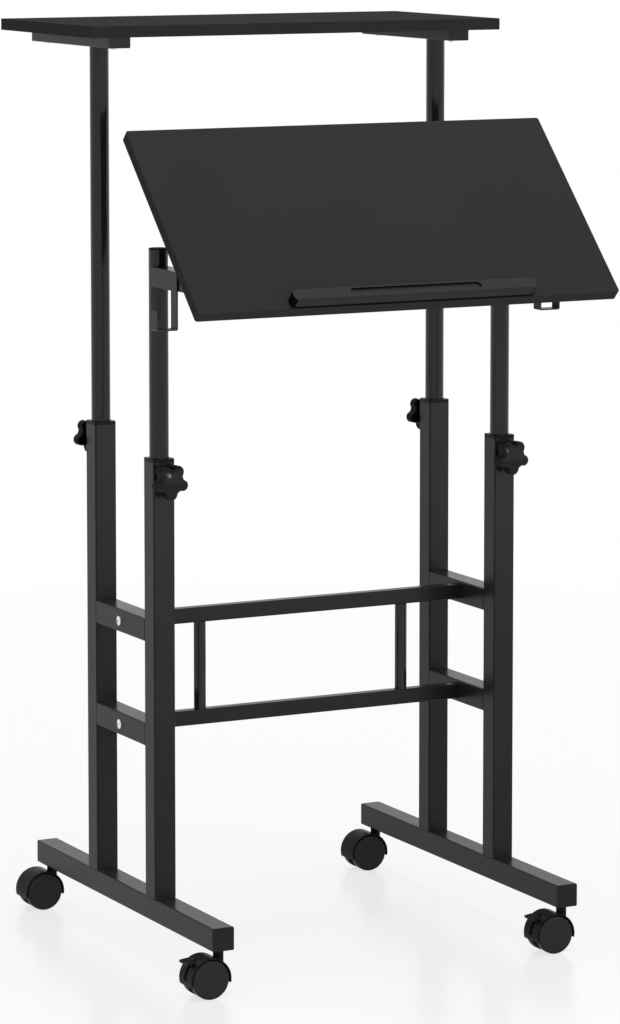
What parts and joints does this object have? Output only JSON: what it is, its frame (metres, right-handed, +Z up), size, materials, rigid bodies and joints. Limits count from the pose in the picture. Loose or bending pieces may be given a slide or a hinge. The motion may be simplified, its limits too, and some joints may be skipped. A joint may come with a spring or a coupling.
{
  "type": "mobile standing desk",
  "caption": "Mobile standing desk with a fixed shelf over a tilting desk board, on telescopic posts with clamp knobs, side hooks, joined feet and braked swivel casters.",
  "frame": {"origin": "on the floor, under the centre of the whole outline at rest", "axes": "+X to the user's right, +Y to the back, away from the user, +Z up"},
  "size_m": [0.6, 0.6238, 1.211],
  "materials": {
    "frame_steel": "satin black powder coat",
    "slide_steel": "satin black powder coat",
    "board": "matt black laminate on particle board",
    "black_plastic": "matt black moulded plastic",
    "ledge_black": "satin black moulded plastic",
    "wheel_black": "satin black nylon",
    "zinc": "bright zinc plate"
  },
  "bodies": {
    "base_frame": {"left_foot": "frame_steel", "right_foot": "frame_steel", "foot_end_caps": "black_plastic", "caster_stems": "zinc", "front_left_post": "frame_steel", "front_right_post": "frame_steel", "rear_left_post": "frame_steel", "rear_right_post": "frame_steel", "post_collars": "black_plastic", "weld_nuts": "zinc", "left_rungs": "frame_steel", "right_rungs": "frame_steel", "upper_cross_rail": "frame_steel", "lower_cross_rail": "frame_steel", "cross_rail_bolts": "zinc", "upright_bars": "frame_steel"},
    "front_left_caster": {"front_left_hood": "black_plastic", "front_left_axle": "zinc"},
    "front_left_fore_roller": {"front_left_wheel_fore": "wheel_black"},
    "front_left_aft_roller": {"front_left_wheel_aft": "wheel_black"},
    "front_left_brake": {"front_left_brake_pedal": "black_plastic"},
    "front_right_caster": {"front_right_hood": "black_plastic", "front_right_axle": "zinc"},
    "front_right_fore_roller": {"front_right_wheel_fore": "wheel_black"},
    "front_right_aft_roller": {"front_right_wheel_aft": "wheel_black"},
    "front_right_brake": {"front_right_brake_pedal": "black_plastic"},
    "rear_left_caster": {"rear_left_hood": "black_plastic", "rear_left_axle": "zinc"},
    "rear_left_fore_roller": {"rear_left_wheel_fore": "wheel_black"},
    "rear_left_aft_roller": {"rear_left_wheel_aft": "wheel_black"},
    "rear_right_caster": {"rear_right_hood": "black_plastic", "rear_right_axle": "zinc"},
    "rear_right_fore_roller": {"rear_right_wheel_fore": "wheel_black"},
    "rear_right_aft_roller": {"rear_right_wheel_aft": "wheel_black"},
    "front_left_clamp": {"front_left_knob": "black_plastic"},
    "front_right_clamp": {"front_right_knob": "black_plastic"},
    "rear_left_clamp": {"rear_left_knob": "black_plastic"},
    "rear_right_clamp": {"rear_right_knob": "black_plastic"},
    "shelf_lift": {"rear_left_slide_tube": "slide_steel", "rear_right_slide_tube": "slide_steel", "rear_slide_guides": "black_plastic", "left_shelf_bracket": "frame_steel", "right_shelf_bracket": "frame_steel", "bracket_end_caps": "black_plastic", "shelf_board": "board", "shelf_screws": "zinc"},
    "desk_lift": {"front_left_slide_tube": "slide_steel", "front_right_slide_tube": "slide_steel", "front_slide_guides": "black_plastic", "slide_tube_caps": "black_plastic", "left_desk_arm": "frame_steel", "right_desk_arm": "frame_steel", "left_side_hook": "frame_steel", "right_side_hook": "frame_steel"},
    "desk_tilt": {"desk_board": "board", "paper_ledge": "ledge_black", "left_tilt_bracket": "frame_steel", "right_tilt_bracket": "frame_steel", "desk_screws": "zinc", "tilt_bolts": "zinc"}
  },
  "joints": [
    {"name": "front_left_caster_swivel", "type": "hinge", "parent": "base_frame", "child": "front_left_caster", "pos_m": [-0.25, -0.24807, 0.06], "axis": [0, 0, 1], "continuous": true},
    {"name": "front_left_fore_wheel_spin", "type": "hinge", "parent": "front_left_caster", "child": "front_left_fore_roller", "pos_m": [-0.268, -0.24807, 0.025], "axis": [0, 1, 0], "continuous": true},
    {"name": "front_left_aft_wheel_spin", "type": "hinge", "parent": "front_left_caster", "child": "front_left_aft_roller", "pos_m": [-0.268, -0.24807, 0.025], "axis": [0, 1, 0], "continuous": true},
    {"name": "front_left_brake_press", "type": "hinge", "parent": "front_left_caster", "child": "front_left_brake", "pos_m": [-0.281, -0.24807, 0.035], "axis": [0, -1, 0], "range_deg": [0, 12]},
    {"name": "front_right_caster_swivel", "type": "hinge", "parent": "base_frame", "child": "front_right_caster", "pos_m": [0.25, -0.24807, 0.06], "axis": [0, 0, 1], "continuous": true},
    {"name": "front_right_fore_wheel_spin", "type": "hinge", "parent": "front_right_caster", "child": "front_right_fore_roller", "pos_m": [0.232, -0.24807, 0.025], "axis": [0, 1, 0], "continuous": true},
    {"name": "front_right_aft_wheel_spin", "type": "hinge", "parent": "front_right_caster", "child": "front_right_aft_roller", "pos_m": [0.232, -0.24807, 0.025], "axis": [0, 1, 0], "continuous": true},
    {"name": "front_right_brake_press", "type": "hinge", "parent": "front_right_caster", "child": "front_right_brake", "pos_m": [0.219, -0.24807, 0.035], "axis": [0, -1, 0], "range_deg": [0, 12]},
    {"name": "rear_left_caster_swivel", "type": "hinge", "parent": "base_frame", "child": "rear_left_caster", "pos_m": [-0.25, 0.27193, 0.06], "axis": [0, 0, 1], "continuous": true},
    {"name": "rear_left_fore_wheel_spin", "type": "hinge", "parent": "rear_left_caster", "child": "rear_left_fore_roller", "pos_m": [-0.268, 0.27193, 0.025], "axis": [0, 1, 0], "continuous": true},
    {"name": "rear_left_aft_wheel_spin", "type": "hinge", "parent": "rear_left_caster", "child": "rear_left_aft_roller", "pos_m": [-0.268, 0.27193, 0.025], "axis": [0, 1, 0], "continuous": true},
    {"name": "rear_right_caster_swivel", "type": "hinge", "parent": "base_frame", "child": "rear_right_caster", "pos_m": [0.25, 0.27193, 0.06], "axis": [0, 0, 1], "continuous": true},
    {"name": "rear_right_fore_wheel_spin", "type": "hinge", "parent": "rear_right_caster", "child": "rear_right_fore_roller", "pos_m": [0.232, 0.27193, 0.025], "axis": [0, 1, 0], "continuous": true},
    {"name": "rear_right_aft_wheel_spin", "type": "hinge", "parent": "rear_right_caster", "child": "rear_right_aft_roller", "pos_m": [0.232, 0.27193, 0.025], "axis": [0, 1, 0], "continuous": true},
    {"name": "front_left_knob_turn", "type": "hinge", "parent": "base_frame", "child": "front_left_clamp", "pos_m": [-0.25, -0.07807, 0.6355], "axis": [0, -1, 0], "range_deg": [0, 540]},
    {"name": "front_right_knob_turn", "type": "hinge", "parent": "base_frame", "child": "front_right_clamp", "pos_m": [0.25, -0.07807, 0.6355], "axis": [0, -1, 0], "range_deg": [0, 540]},
    {"name": "rear_left_knob_turn", "type": "hinge", "parent": "base_frame", "child": "rear_left_clamp", "pos_m": [-0.25, 0.10193, 0.6625], "axis": [0, 1, 0], "range_deg": [0, 540]},
    {"name": "rear_right_knob_turn", "type": "hinge", "parent": "base_frame", "child": "rear_right_clamp", "pos_m": [0.25, 0.10193, 0.6625], "axis": [0, 1, 0], "range_deg": [0, 540]},
    {"name": "shelf_height", "type": "slide", "parent": "base_frame", "child": "shelf_lift", "axis": [0, 0, 1], "range_m": [-0.485, 0.05]},
    {"name": "desk_height", "type": "slide", "parent": "base_frame", "child": "desk_lift", "axis": [0, 0, 1], "range_m": [-0.215, 0.15]},
    {"name": "desk_tilt_turn", "type": "hinge", "parent": "desk_lift", "child": "desk_tilt", "pos_m": [0, -0.19807, 0.9], "axis": [1, 0, 0], "range_deg": [-45, 30]}
  ]
}
